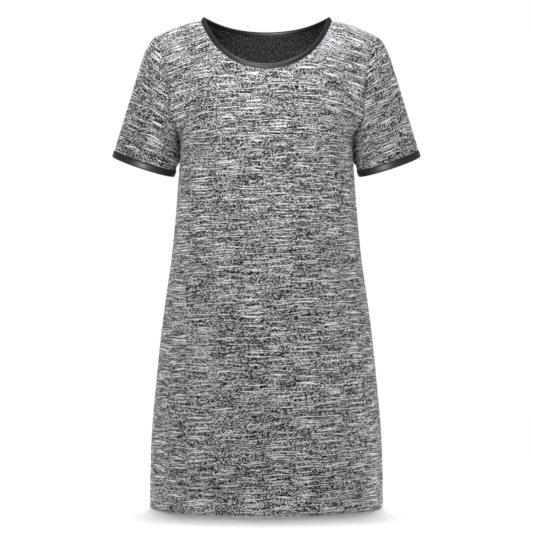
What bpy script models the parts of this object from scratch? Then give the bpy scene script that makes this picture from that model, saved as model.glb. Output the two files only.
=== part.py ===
"""A-line dress with short set-in sleeves, standing open and filled out as it is worn.

Metres, +Z up. The front faces -Y and the wearer's left is at +X. The origin lies midway between
the two points where the shoulder seams meet the neck edge of the cloth.
"""

import math
from collections import namedtuple

import bmesh
import bpy
from mathutils import Vector

# Cloth
WALL = 0.0016
HEM_WALL = 0.0030
HEM_TURNING = 0.028
HEM_STEP = 0.002
SEAM_GAP = 0.0003
CORNER_GAP = 0.00045
LARGEST_MITRE = 1.6

# Neck edge of the cloth, and the shoulder seam beside it
NECK_HALF_WIDTH = 0.119
NECK_DROP = {"front": 0.0955, "back": 0.0200}
NECK_REACH = {"front": 0.088, "back": 0.077}

# The two inner control points of each neck curve, as shares of its half width, reach and drop
Share = namedtuple("Share", "width reach drop")
NECK_CURVE = {
    "front": (Share(0.58, 1.00, 1.00), Share(0.87, 0.75, 0.48)),
    "back": (Share(0.50, 1.00, 1.00), Share(0.80, 0.70, 0.42)),
}
SHOULDER_TIP = Vector((0.198, 0.0, -0.0272))
SHOULDER_ROUND = 1.5

# How the cloth leaves its top edge: at the middle of the neck, where the neck meets the shoulder
# seam, and at the shoulder tip. Each is how far it then runs out from the seam's plane, and down.
Leave = namedtuple("Leave", "out down")
LEAVES = {
    "front": (Leave(0.042, 0.115), Leave(0.135, 0.078), Leave(0.150, 0.012)),
    "back": (Leave(0.030, 0.170), Leave(0.150, 0.030), Leave(0.150, 0.012)),
}

# Body below the armholes: level rings, each an oval with its own squareness
Ring = namedtuple("Ring", "height half_width front back squareness")
RINGS = (
    Ring(-0.215, 0.1570, 0.1190, 0.1000, 2.40),
    Ring(-0.250, 0.1572, 0.1240, 0.1000, 2.35),
    Ring(-0.300, 0.1606, 0.1252, 0.0985, 2.28),
    Ring(-0.363, 0.1656, 0.1238, 0.0980, 2.20),
    Ring(-0.436, 0.1729, 0.1240, 0.1025, 2.15),
    Ring(-0.508, 0.1833, 0.1270, 0.1130, 2.12),
    Ring(-0.581, 0.1926, 0.1322, 0.1250, 2.10),
    Ring(-0.654, 0.2000, 0.1385, 0.1365, 2.10),
    Ring(-0.727, 0.2068, 0.1450, 0.1455, 2.10),
    Ring(-0.800, 0.2108, 0.1512, 0.1525, 2.10),
    Ring(-0.881, 0.2120, 0.1560, 0.1575, 2.10),
)
ARMPIT_LEVEL = RINGS[0].height
HEM_LEVEL = RINGS[-1].height

# Armhole seam from the shoulder tip to the armpit. The back one is less deep by ARMHOLE_BACK.
Stop = namedtuple("Stop", "side forward height")
ARMHOLE = (
    Stop(0.1980, 0.000, -0.0272),
    Stop(0.1962, 0.022, -0.0340),
    Stop(0.1903, 0.041, -0.0600),
    Stop(0.1796, 0.056, -0.1065),
    Stop(0.1744, 0.062, -0.1446),
    Stop(0.1742, 0.058, -0.1796),
    Stop(0.1632, 0.038, -0.2010),
    Stop(0.1570, 0.000, -0.2150),
)
ARMHOLE_BACK = 0.88
ARMHOLE_REACH = 3.0

# Soft folds of the skirt, which fade out beside the side seams. The angle and width are in degrees
# round the panel from its middle, positive towards +X, and drift is the angle gained down to the hem.
FOLD_FADE = 0.12
Fold = namedtuple("Fold", "panel angle drift width depth top")
FOLDS = (
    Fold("front", -66.0, -3.0, 8.0, 0.0016, -0.55),
    Fold("front", -38.0, -4.0, 11.0, 0.0028, -0.42),
    Fold("front", -10.0, -2.0, 9.0, -0.0028, -0.50),
    Fold("front", 11.0, 2.0, 8.0, 0.0026, -0.46),
    Fold("front", 32.0, 4.0, 11.0, -0.0028, -0.40),
    Fold("front", 60.0, 4.0, 9.0, 0.0020, -0.52),
    Fold("back", -62.0, -4.0, 9.0, -0.0018, -0.52),
    Fold("back", -42.0, -4.0, 9.0, 0.0026, -0.46),
    Fold("back", -20.0, -3.0, 8.0, -0.0024, -0.42),
    Fold("back", 3.0, 1.0, 9.0, 0.0028, -0.48),
    Fold("back", 27.0, 3.0, 9.0, -0.0026, -0.44),
    Fold("back", 54.0, 4.0, 10.0, 0.0024, -0.50),
)

# Sleeve: from the armhole to the level where its cloth ends, an oval tilted in both views
CUFF_OUTER = Vector((0.2764, 0.0, -0.2358))
CUFF_INNER = Vector((0.1642, 0.0, -0.2728))
CUFF_FORWARD = Vector((0.0, -0.0525, -0.0072))
CUFF_MIDDLE = (CUFF_OUTER + CUFF_INNER) / 2
CUFF_ACROSS = (CUFF_OUTER - CUFF_INNER).normalized()
CUFF_DOWN = Vector((CUFF_ACROSS.z, 0.0, -CUFF_ACROSS.x))
SLEEVE_HEAD = 0.0145
SLEEVE_HEAD_ROUND = 0.07

# Bindings, as flat rounded strips: width along the cloth, thickness across it
NECK_BINDING_WIDTH = 0.0086
NECK_BINDING_THICKNESS = 0.0038
NECK_BINDING_LIFT = 1.0
CUFF_BINDING_WIDTH = 0.0120
CUFF_BINDING_THICKNESS = 0.0032
BINDING_SQUARENESS = 3.0
BINDING_SIDES = 8

# Finish: colour as linear red, green, blue, and roughness
CLOTH_COLOR = (0.26, 0.26, 0.27)
CLOTH_ROUGHNESS = 0.9
BINDING_COLOR = (0.035, 0.035, 0.038)
BINDING_ROUGHNESS = 0.45
SHARP_ANGLE = math.radians(40)

# Mesh density
PANEL_COLUMNS = 36
NECK_SHARE = 12 / 18
YOKE_ROWS = 12
SKIRT_ROWS = 20
SLEEVE_ROWS = 8
SLEEVE_ROW_EASE = 1.4

# How far ahead a direction is read: down the body, and along a column or seam as a share of it
SLOPE_STEP = 0.002
LOOK_AHEAD = 0.02

PIECES = ("front_panel", "back_panel", "sleeve_left", "sleeve_right")
TOWARDS = {"front": -1.0, "back": 1.0}


def hermite(start, end, leave, arrive, t):
    """The cubic from start to end with the given end tangents."""
    t2 = t * t
    t3 = t2 * t
    return (
        (2 * t3 - 3 * t2 + 1) * start
        + (t3 - 2 * t2 + t) * leave
        + (3 * t2 - 2 * t3) * end
        + (t3 - t2) * arrive
    )


def bezier(points, t):
    """The cubic Bezier curve of four control points."""
    a, b, c, d = points
    u = 1.0 - t
    return u * u * u * a + 3 * u * u * t * b + 3 * u * t * t * c + t * t * t * d


def smoothstep(t):
    """Eases from 0 to 1, and stays there outside that range."""
    t = min(1.0, max(0.0, t))
    return t * t * (3.0 - 2.0 * t)


def smooth_table(stations, rows, at):
    """Reads a table of equal-length rows smoothly at a station between two of its own."""
    count = len(stations)
    index = 0
    while index < count - 2 and (stations[index + 1] - at) * (stations[-1] - stations[0]) < 0:
        index += 1

    def slope(i):
        low = max(0, i - 1)
        high = min(count - 1, i + 1)
        return (rows[high] - rows[low]) / (stations[high] - stations[low])

    step = stations[index + 1] - stations[index]
    t = (at - stations[index]) / step
    return hermite(rows[index], rows[index + 1], slope(index) * step, slope(index + 1) * step, t)


RING_HEIGHTS = [ring.height for ring in RINGS]
RING_SIZES = [Vector((ring.half_width, ring.front, ring.back, ring.squareness)) for ring in RINGS]
ARMHOLE_POINTS = [Vector((stop.side, -stop.forward, stop.height)) for stop in ARMHOLE]
ARMHOLE_SPANS = [(after - before).length for before, after in zip(ARMHOLE_POINTS, ARMHOLE_POINTS[1:])]
ARMHOLE_LENGTHS = [sum(ARMHOLE_SPANS[:i]) for i in range(len(ARMHOLE_POINTS))]


def ring_point(panel, across, height):
    """A point of the body below the armholes. across runs from -1 to 1 between the side seams."""
    half_width, front, back, squareness = smooth_table(RING_HEIGHTS, RING_SIZES, height)
    depth = front if panel == "front" else back
    angle = abs(across) * math.pi / 2
    bend = 2.0 / squareness
    x = half_width * math.sin(angle) ** bend
    y = depth * max(0.0, math.cos(angle)) ** bend
    return Vector((math.copysign(x, across), TOWARDS[panel] * y, height))


def fold_height(panel, across, height):
    """How far the skirt's soft folds push the cloth out at a point."""
    down = (ARMPIT_LEVEL - height) / (ARMPIT_LEVEL - HEM_LEVEL)
    beside_seam = smoothstep((1.0 - abs(across)) / FOLD_FADE)
    total = 0.0
    for fold in FOLDS:
        if fold.panel != panel:
            continue
        middle = fold.angle + fold.drift * down
        away = (across * 90.0 - middle) / fold.width
        grow = smoothstep((fold.top - height) / (fold.top - HEM_LEVEL))
        total += fold.depth * grow * math.exp(-away * away)
    return total * beside_seam


def skirt_point(panel, across, height):
    """A point of the body below the armholes, with the soft folds in it."""
    point = ring_point(panel, across, height)
    middle = smooth_table(RING_HEIGHTS, RING_SIZES, height)
    depth = middle[1] if panel == "front" else middle[2]
    outward = Vector((point.x / middle[0] ** 2, point.y / depth**2, 0.0)).normalized()
    return point + outward * fold_height(panel, across, height)


def neck_edge(panel, t):
    """The neck edge of one panel on the +X side, from its middle at 0 to the shoulder seam at 1."""
    whole = (NECK_HALF_WIDTH, TOWARDS[panel] * NECK_REACH[panel], -NECK_DROP[panel])
    shares = (Share(0.0, 1.0, 1.0), *NECK_CURVE[panel], Share(1.0, 0.0, 0.0))
    points = [Vector([size * part for size, part in zip(whole, share)]) for share in shares]
    return bezier(points, t)


def shoulder_seam(t):
    """The shoulder seam on the +X side, from the neck at 0 to the shoulder tip at 1."""
    x = NECK_HALF_WIDTH + (SHOULDER_TIP.x - NECK_HALF_WIDTH) * t
    return Vector((x, 0.0, SHOULDER_TIP.z * t**SHOULDER_ROUND))


def armhole(panel, t):
    """The armhole seam on the +X side, from the shoulder tip at 0 to the armpit at 1."""
    point = smooth_table(ARMHOLE_LENGTHS, ARMHOLE_POINTS, t * ARMHOLE_LENGTHS[-1])
    if panel == "back":
        point.y *= -ARMHOLE_BACK
    return point


def yoke_column(panel, across, t):
    """A point on the cubic that runs from the top edge of the panel down to the armpit level."""
    side = TOWARDS[panel]
    bottom = ring_point(panel, across, ARMPIT_LEVEL)
    arrive = (ring_point(panel, across, ARMPIT_LEVEL - SLOPE_STEP) - bottom) / SLOPE_STEP
    middle, neck, tip = (Vector((0.0, side * leave.out, -leave.down)) for leave in LEAVES[panel])
    if across <= NECK_SHARE:
        share = across / NECK_SHARE
        top = neck_edge(panel, share)
        leave = middle.lerp(neck, share * share)
    else:
        share = (across - NECK_SHARE) / (1.0 - NECK_SHARE)
        top = shoulder_seam(share)
        leave = neck.lerp(tip, share)
    leave.x = bottom.x - top.x
    return hermite(top, bottom, leave, arrive * (bottom - top).length, t)


def yoke_point(panel, across, t):
    """A point between the top edge at 0 and the armpit level at 1, pulled to the armhole seam."""
    side = abs(across)
    point = yoke_column(panel, side, t)
    point += side**ARMHOLE_REACH * (armhole(panel, t) - yoke_column(panel, 1.0, t))
    point.x = math.copysign(point.x, across)
    return point


def sleeve_point(around, along):
    """A point of the +X sleeve. around runs from 0 at the top through the front to 1 at the top."""
    half = 2.0 * around
    panel = "front" if half <= 1.0 else "back"
    seam = armhole(panel, half if half <= 1.0 else 2.0 - half)
    angle = half * math.pi
    end = CUFF_MIDDLE + (CUFF_OUTER - CUFF_MIDDLE) * math.cos(angle) + CUFF_FORWARD * math.sin(angle)
    radial = CUFF_ACROSS * math.cos(angle) - Vector((0.0, 1.0, 0.0)) * math.sin(angle)
    head = SLEEVE_HEAD * (0.5 + 0.5 * math.cos(angle))
    swell = head * (1.0 - along) * (1.0 - math.exp(-along / SLEEVE_HEAD_ROUND))
    return seam.lerp(end, along) + radial * swell


def skirt_rows():
    """Heights of the rows below the armpit level, with the step where the turned-up hem begins."""
    turning = HEM_LEVEL + HEM_TURNING
    even = SKIRT_ROWS - 3
    rows = [ARMPIT_LEVEL + (turning + HEM_STEP - ARMPIT_LEVEL) * (i + 1) / even for i in range(even)]
    return rows + [turning, (turning + HEM_LEVEL) / 2, HEM_LEVEL]


def panel_place(panel):
    """The function that lays a flat grid of -1 to 1 each way on one panel."""
    heights = skirt_rows()
    rows = YOKE_ROWS + SKIRT_ROWS

    def place(x, y):
        row = round((1.0 - y) / 2.0 * rows)
        if row <= YOKE_ROWS:
            return yoke_point(panel, x, row / YOKE_ROWS)
        return skirt_point(panel, x, heights[row - YOKE_ROWS - 1])

    return place


def sleeve_place(mirror):
    """The function that wraps a flat grid of -1 to 1 each way into one sleeve."""

    def place(x, y):
        along = ((1.0 - y) / 2.0) ** SLEEVE_ROW_EASE
        point = sleeve_point((1.0 + x) / 2.0, along)
        point.x *= mirror
        return point

    return place


def add_grid(mesh, piece, columns, rows, place):
    """Adds a grid to the skin, lays it on the surface and marks its faces with the piece's number."""
    made = bmesh.ops.create_grid(mesh, x_segments=columns, y_segments=rows, size=1.0)["verts"]
    for face in {face for vert in made for face in vert.link_faces}:
        face.material_index = piece
    for vert in made:
        vert.co = place(vert.co.x, vert.co.y)


def wall_at(height):
    """The wall's thickness: the turned-up hem is the cloth folded double."""
    return HEM_WALL if height < HEM_LEVEL + HEM_TURNING + HEM_STEP / 2 else WALL


def make_skin():
    """The outer surface of all four cloth pieces, sewn together, with the way in at each point."""
    skin = bmesh.new()
    add_grid(skin, 0, PANEL_COLUMNS, YOKE_ROWS + SKIRT_ROWS, panel_place("front"))
    add_grid(skin, 1, PANEL_COLUMNS, YOKE_ROWS + SKIRT_ROWS, panel_place("back"))
    add_grid(skin, 2, 2 * YOKE_ROWS, SLEEVE_ROWS, sleeve_place(1.0))
    add_grid(skin, 3, 2 * YOKE_ROWS, SLEEVE_ROWS, sleeve_place(-1.0))
    bmesh.ops.remove_doubles(skin, verts=skin.verts[:], dist=SEAM_GAP / 10)
    bmesh.ops.recalc_face_normals(skin, faces=skin.faces[:])
    skin.normal_update()
    foremost = min(skin.faces, key=lambda face: face.calc_center_median().y)
    if foremost.normal.y > 0:
        bmesh.ops.reverse_faces(skin, faces=skin.faces[:])
        skin.normal_update()
    inward = skin.verts.layers.float_vector.new("inward")
    for vert in skin.verts:
        facing = sum(vert.normal.dot(face.normal) for face in vert.link_faces)
        mitre = min(LARGEST_MITRE, len(vert.link_faces) / max(facing, 0.01))
        vert[inward] = -vert.normal * wall_at(vert.co.z) * mitre
    return skin


def middle_of_wall(faces):
    """The mean of the faces' middles, half a wall in."""
    total = Vector()
    for face in faces:
        total += face.calc_center_median() - face.normal * WALL / 2
    return total / len(faces)


def seam_pulls(skin, piece, inward):
    """How each seam point of a piece draws back from the pieces that it is sewn to."""
    pulls = []
    for vert in skin.verts:
        own = [face for face in vert.link_faces if face.material_index == piece]
        others = [face for face in vert.link_faces if face.material_index != piece]
        if not own or not others:
            continue
        away = middle_of_wall(own) - middle_of_wall(others)
        rim = vert[inward].normalized()
        away -= rim * away.dot(rim)
        pieces = {face.material_index for face in vert.link_faces}
        seam = [
            edge.other_vert(vert).co - vert.co
            for edge in vert.link_edges
            if len({face.material_index for face in edge.link_faces}) > 1
        ]
        if len(pieces) == 2 and len(seam) == 2:
            along = (seam[0] - seam[1]).normalized()
            away -= along * away.dot(along)
        reach = SEAM_GAP / 2 if len(pieces) == 2 else CORNER_GAP / 2
        pulls.append((vert, away.normalized() * reach))
    return pulls


def cloth_piece(skin, piece, material):
    """One cloth piece as a closed wall: its part of the skin, drawn back at seams and thickened."""
    mesh = skin.copy()
    inward = mesh.verts.layers.float_vector["inward"]
    pulls = seam_pulls(mesh, piece, inward)
    others = [face for face in mesh.faces if face.material_index != piece]
    bmesh.ops.delete(mesh, geom=others, context="FACES")
    for vert, pull in pulls:
        vert.co += pull
    grown = bmesh.ops.extrude_face_region(mesh, geom=mesh.faces[:], use_keep_orig=True)["geom"]
    for item in grown:
        if isinstance(item, bmesh.types.BMVert):
            item.co += item[inward]
    finish_piece(mesh, PIECES[piece], material)


def strip_section(width, thickness):
    """Points round a flat strip's section, as (along the cloth, out of the cloth)."""
    points = []
    bend = 2.0 / BINDING_SQUARENESS
    for side in range(BINDING_SIDES):
        angle = math.tau * (side + 0.5) / BINDING_SIDES
        across = math.copysign(abs(math.cos(angle)) ** bend, math.cos(angle))
        out = math.copysign(abs(math.sin(angle)) ** bend, math.sin(angle))
        points.append((across * width / 2, out * thickness / 2))
    return points


def add_strip(name, stations, width, thickness, material):
    """A closed strip of binding. Each station is (cloth edge, away from the cloth, out of the cloth)."""
    section = strip_section(width, thickness)
    mesh = bmesh.new()
    count = len(stations)
    made = bmesh.ops.create_grid(mesh, x_segments=count, y_segments=BINDING_SIDES, size=1.0)["verts"]
    for vert in made:
        station = round((vert.co.x + 1.0) / 2.0 * count) % count
        side = round((vert.co.y + 1.0) / 2.0 * BINDING_SIDES) % BINDING_SIDES
        edge, away, out = stations[station]
        across, proud = section[side]
        vert.co = edge + away * (SEAM_GAP + width / 2 + across) + out * (proud - WALL / 2)
    bmesh.ops.remove_doubles(mesh, verts=mesh.verts[:], dist=SEAM_GAP / 10)
    finish_piece(mesh, name, material)


def neck_stations():
    """The neck edge all the way round, with the way the binding stands up from it."""
    columns = round(PANEL_COLUMNS / 2 * NECK_SHARE)
    edges = []
    downs = []
    for panel, sense in (("front", 1.0), ("back", -1.0)):
        for column in range(-columns, columns):
            across = sense * column / columns * NECK_SHARE
            edge = yoke_point(panel, across, 0.0)
            down = yoke_point(panel, across, LOOK_AHEAD) - edge
            if column == -columns:
                down = shoulder_seam(LOOK_AHEAD) - shoulder_seam(0.0)
                down.x = math.copysign(down.x, across)
            edges.append(edge)
            downs.append(down)
    stations = []
    for i, edge in enumerate(edges):
        along = (edges[(i + 1) % len(edges)] - edges[i - 1]).normalized()
        down = (downs[i] - along * downs[i].dot(along)).normalized()
        away = Vector((0.0, 0.0, NECK_BINDING_LIFT)) - down
        away = (away - along * away.dot(along)).normalized()
        stations.append((edge, away, along.cross(away)))
    return stations


def cuff_stations(mirror):
    """The end of one sleeve's cloth all the way round, with the sleeve's own direction."""
    count = 2 * YOKE_ROWS
    flip = Vector((mirror, 1.0, 1.0))
    stations = []
    for i in range(count):
        edge = sleeve_point(i / count, 1.0)
        out = edge - CUFF_MIDDLE
        out = (out - CUFF_DOWN * out.dot(CUFF_DOWN)).normalized()
        stations.append((edge * flip, CUFF_DOWN * flip, out * flip))
    return stations


def finish_piece(mesh, name, material):
    """Turns the faces outwards and puts the mesh in the scene as one named object."""
    bmesh.ops.recalc_face_normals(mesh, faces=mesh.faces[:])
    bmesh.ops.triangulate(mesh, faces=mesh.faces[:], quad_method="SHORT_EDGE")
    data = bpy.data.meshes.new(name)
    for face in mesh.faces:
        face.material_index = 0
    mesh.to_mesh(data)
    mesh.free()
    data.materials.append(material)
    data.shade_smooth()
    data.set_sharp_from_angle(angle=SHARP_ANGLE)
    bpy.context.scene.collection.objects.link(bpy.data.objects.new(name, data))


def make_material(name, color, roughness):
    """A plain cloth material, not metallic."""
    material = bpy.data.materials.new(name)
    material.use_nodes = True
    shader = material.node_tree.nodes["Principled BSDF"]
    shader.inputs["Base Color"].default_value = (*color, 1.0)
    shader.inputs["Roughness"].default_value = roughness
    shader.inputs["Metallic"].default_value = 0.0
    return material


def main():
    for thing in list(bpy.data.objects):
        bpy.data.objects.remove(thing, do_unlink=True)
    skin = make_skin()
    for piece, name in enumerate(PIECES):
        jersey = make_material(f"marl_jersey_{name}", CLOTH_COLOR, CLOTH_ROUGHNESS)
        cloth_piece(skin, piece, jersey)
    skin.free()
    neck = make_material("neck_strip", BINDING_COLOR, BINDING_ROUGHNESS)
    add_strip("neck_binding", neck_stations(), NECK_BINDING_WIDTH, NECK_BINDING_THICKNESS, neck)
    for side, mirror in (("left", 1.0), ("right", -1.0)):
        cuff = make_material(f"cuff_strip_{side}", BINDING_COLOR, BINDING_ROUGHNESS)
        name = f"cuff_binding_{side}"
        add_strip(name, cuff_stations(mirror), CUFF_BINDING_WIDTH, CUFF_BINDING_THICKNESS, cuff)


main()
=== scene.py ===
"""An A-line dress of slub marl jersey with satin bindings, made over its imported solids.

Metres, +Z up. The front faces -Y and the wearer's left is at +X. Every cloth piece is a thin shell
on the form of its solid, with a flat cut noted in its UV map, so that the slubs follow the cloth.
"""

import math
from collections import namedtuple

import bmesh
import bpy
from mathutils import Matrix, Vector


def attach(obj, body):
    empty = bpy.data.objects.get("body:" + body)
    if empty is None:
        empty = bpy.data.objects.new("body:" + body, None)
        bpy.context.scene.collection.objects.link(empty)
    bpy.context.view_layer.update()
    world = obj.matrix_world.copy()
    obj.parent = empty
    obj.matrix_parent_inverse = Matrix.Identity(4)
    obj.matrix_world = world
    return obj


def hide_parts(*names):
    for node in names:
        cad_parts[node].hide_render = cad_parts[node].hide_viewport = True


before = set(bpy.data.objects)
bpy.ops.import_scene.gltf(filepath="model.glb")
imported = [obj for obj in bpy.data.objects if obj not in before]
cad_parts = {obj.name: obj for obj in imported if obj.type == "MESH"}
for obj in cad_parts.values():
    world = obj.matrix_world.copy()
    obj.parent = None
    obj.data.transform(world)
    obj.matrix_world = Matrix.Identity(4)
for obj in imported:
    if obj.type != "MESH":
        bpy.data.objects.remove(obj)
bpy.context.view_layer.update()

bl_info = {
    "name": "A-line dress",
    "version": (1, 0, 0),
    "blender": (4, 5, 0),
    "location": "3D View > Sidebar > Dress",
    "description": "Makes the cloth, bindings and seams of an A-line dress over its solids",
    "category": "Object",
}

# Neck edge of the cloth, and the shoulder seam beside it
NECK_HALF_WIDTH = 0.119
NECK_DROP = {"front": 0.0955, "back": 0.0200}
NECK_REACH = {"front": 0.088, "back": 0.077}
Share = namedtuple("Share", "width reach drop")
NECK_CURVE = {
    "front": (Share(0.58, 1.00, 1.00), Share(0.87, 0.75, 0.48)),
    "back": (Share(0.50, 1.00, 1.00), Share(0.80, 0.70, 0.42)),
}
SHOULDER_TIP = Vector((0.198, 0.0, -0.0272))
SHOULDER_ROUND = 1.5

# How the cloth leaves its top edge: at the middle of the neck, where the neck meets the shoulder
# seam, and at the shoulder tip. Each is how far it then runs out from the seam's plane, and down.
Leave = namedtuple("Leave", "out down")
LEAVES = {
    "front": (Leave(0.042, 0.115), Leave(0.135, 0.078), Leave(0.150, 0.012)),
    "back": (Leave(0.030, 0.170), Leave(0.150, 0.030), Leave(0.150, 0.012)),
}

# Body below the armholes: level rings, each an oval with its own squareness
Ring = namedtuple("Ring", "height half_width front back squareness")
RINGS = (
    Ring(-0.215, 0.1570, 0.1190, 0.1000, 2.40),
    Ring(-0.250, 0.1572, 0.1240, 0.1000, 2.35),
    Ring(-0.300, 0.1606, 0.1252, 0.0985, 2.28),
    Ring(-0.363, 0.1656, 0.1238, 0.0980, 2.20),
    Ring(-0.436, 0.1729, 0.1240, 0.1025, 2.15),
    Ring(-0.508, 0.1833, 0.1270, 0.1130, 2.12),
    Ring(-0.581, 0.1926, 0.1322, 0.1250, 2.10),
    Ring(-0.654, 0.2000, 0.1385, 0.1365, 2.10),
    Ring(-0.727, 0.2068, 0.1450, 0.1455, 2.10),
    Ring(-0.800, 0.2108, 0.1512, 0.1525, 2.10),
    Ring(-0.881, 0.2120, 0.1560, 0.1575, 2.10),
)
ARMPIT_LEVEL = RINGS[0].height
HEM_LEVEL = RINGS[-1].height

# Armhole seam from the shoulder tip to the armpit. The back one is less deep by ARMHOLE_BACK.
Stop = namedtuple("Stop", "side forward height")
ARMHOLE = (
    Stop(0.1980, 0.000, -0.0272),
    Stop(0.1962, 0.022, -0.0340),
    Stop(0.1903, 0.041, -0.0600),
    Stop(0.1796, 0.056, -0.1065),
    Stop(0.1744, 0.062, -0.1446),
    Stop(0.1742, 0.058, -0.1796),
    Stop(0.1632, 0.038, -0.2010),
    Stop(0.1570, 0.000, -0.2150),
)
ARMHOLE_BACK = 0.88
ARMHOLE_REACH = 3.0

# Soft folds of the skirt, which fade out beside the side seams. The angle and width are in degrees
# round the panel from its middle, positive towards +X, and drift is the angle gained down to the hem.
FOLD_FADE = 0.12
Fold = namedtuple("Fold", "angle drift width depth top")
FOLDS = {
    "front": (
        Fold(-66.0, -3.0, 8.0, 0.0016, -0.55),
        Fold(-38.0, -4.0, 11.0, 0.0028, -0.42),
        Fold(-10.0, -2.0, 9.0, -0.0028, -0.50),
        Fold(11.0, 2.0, 8.0, 0.0026, -0.46),
        Fold(32.0, 4.0, 11.0, -0.0028, -0.40),
        Fold(60.0, 4.0, 9.0, 0.0020, -0.52),
    ),
    "back": (
        Fold(-62.0, -4.0, 9.0, -0.0018, -0.52),
        Fold(-42.0, -4.0, 9.0, 0.0026, -0.46),
        Fold(-20.0, -3.0, 8.0, -0.0024, -0.42),
        Fold(3.0, 1.0, 9.0, 0.0028, -0.48),
        Fold(27.0, 3.0, 9.0, -0.0026, -0.44),
        Fold(54.0, 4.0, 10.0, 0.0024, -0.50),
    ),
}

# Short soft creases, seen from the front or the back: from one (x, z) to the other, troughs below 0
Crease = namedtuple("Crease", "x0 z0 x1 z1 width depth")
CREASES = {
    "front": (
        Crease(0.168, -0.196, 0.118, -0.146, 0.0090, -0.0016),
        Crease(0.160, -0.214, 0.096, -0.186, 0.0080, 0.0012),
        Crease(-0.168, -0.190, -0.112, -0.150, 0.0085, -0.0014),
        Crease(-0.158, -0.216, -0.104, -0.178, 0.0080, 0.0012),
        Crease(0.150, -0.330, 0.092, -0.318, 0.0100, -0.0010),
        Crease(-0.152, -0.352, -0.088, -0.366, 0.0110, -0.0011),
        Crease(0.230, -0.190, 0.196, -0.092, 0.0080, -0.0012),
        Crease(0.212, -0.226, 0.190, -0.150, 0.0070, 0.0011),
        Crease(-0.228, -0.196, -0.198, -0.100, 0.0080, -0.0012),
        Crease(-0.208, -0.232, -0.190, -0.158, 0.0070, 0.0011),
    ),
    "back": (
        Crease(0.090, -0.318, -0.052, -0.326, 0.0130, -0.0014),
        Crease(0.040, -0.356, -0.104, -0.350, 0.0120, -0.0013),
        Crease(0.108, -0.384, 0.012, -0.392, 0.0110, -0.0011),
        Crease(0.160, -0.204, 0.108, -0.158, 0.0090, -0.0014),
        Crease(-0.164, -0.200, -0.106, -0.162, 0.0090, -0.0014),
        Crease(0.226, -0.186, 0.198, -0.098, 0.0080, -0.0011),
        Crease(-0.226, -0.190, -0.196, -0.096, 0.0080, -0.0011),
    ),
}
# How a crease fades: past its ends in lengths, to its sides in widths, and beside a seam in metres
CREASE_END = 0.3
CREASE_REACH = 3.0
CREASE_FADE = 0.012

# Sleeve: from the armhole to the level where its cloth ends, an oval tilted in both views
CUFF_OUTER = Vector((0.2764, 0.0, -0.2358))
CUFF_INNER = Vector((0.1642, 0.0, -0.2728))
CUFF_FORWARD = Vector((0.0, -0.0525, -0.0072))
CUFF_MIDDLE = (CUFF_OUTER + CUFF_INNER) / 2
CUFF_ACROSS = (CUFF_OUTER - CUFF_INNER).normalized()
CUFF_DOWN = Vector((CUFF_ACROSS.z, 0.0, -CUFF_ACROSS.x))
SLEEVE_HEAD = 0.0145
SLEEVE_HEAD_ROUND = 0.07

# Under the arm the sleeve lies against the body, and the body's side gives way a little
PRESS_TOP = -0.217
PRESS_BOTTOM = -0.268
PRESS_FADE = 0.012
PRESS_WIDTH = 0.020
DENT = 0.0015
DENT_WIDTH = 0.010
PRESS_GAP = 0.0005

# The knit courses slant a little over the skirt, droop towards the armholes, and close up where the
# cloth leans over the shoulders. The droop and the lean each set in over a height, the fade.
SLANT = 0.03
DROOP = 0.32
DROOP_START = 0.07
LEAN = 0.5
LEAN_START = 0.07
DROOP_FADE = 0.10
LEAN_FADE = 0.05
LEAN_LEVEL = -0.10

# The slubs of a sleeve fan out from a point across the body, as the cap is eased over the shoulder
SLEEVE_FAN = Vector((-0.195, 0.0, -0.391))
SLEEVE_FAN_RADIUS = 0.45

# Cloth
WALL = 0.0016
HEM_WALL = 0.0030
HEM_TURNING = 0.028
HEM_STEP = 0.002
HEM_TOP = HEM_LEVEL + HEM_TURNING + HEM_STEP / 2
HEM_ROUND = 0.0012
SEAM_GAP = 0.0003
CORNER_GAP = 0.00045
LARGEST_MITRE = 1.6
FOLD_BAND = 0.001
FOLD_ANGLE = math.radians(60)

# Bindings, as flat rounded strips: width along the cloth, thickness across it
NECK_BINDING_WIDTH = 0.0086
NECK_BINDING_THICKNESS = 0.0038
NECK_BINDING_LIFT = 1.0
CUFF_BINDING_WIDTH = 0.0120
CUFF_BINDING_THICKNESS = 0.0032
BINDING_SQUARENESS = 3.0
BINDING_OVERLAP = 0.0012
BINDING_SIDES = 32
# A soft furrow along a binding: its place from -1 at the cloth to 1 at the rim, its width and depth
Groove = namedtuple("Groove", "place width depth")
NECK_GROOVE = Groove(-0.66, 0.0014, 0.0011)
CUFF_GROOVE = Groove(-0.80, 0.0008, 0.0004)

# Patterns of the cloth and the satin: how wide each lump is along the courses, and how high
WAVER_SIZE = (0.045, 0.024)
THREAD_SIZE = (0.0220, 0.0021)
PATCH_SIZE = (0.080, 0.011)
PATCH_TURN = -0.25
STITCH_SIZE = (0.0014, 0.0013)
REVERSE_STITCH_SIZE = (0.0024, 0.0050)
FLECK_SIZE = (0.0030, 0.0045)
FLOAT_SIZE = (0.0060, 0.0010)
FLOAT_TURN = math.radians(45)

# Middle tone and sheen of the cloth, on the body and on the sleeves, and where slubs turn pale
BODY_MARL = (0.415, 0.1)
# The sleeves' middle is darker than the body's: painted shade on a copy of the same cloth
SLEEVE_MARL_WITH_PAINTED_SHADE = (0.385, 0.06)
PALE_START = 0.10

# The floor, how bright the wall behind the camera is beside the others, and the directions between
# which the surround eases from that wall to the others, and from the ceiling to the walls
FLOOR_SIZE = 1.7
FRONT_SHARE = 0.36
FRONT_WALL = (-0.95, -0.5)
WALL_TOP = (0.32, 0.08)

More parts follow.
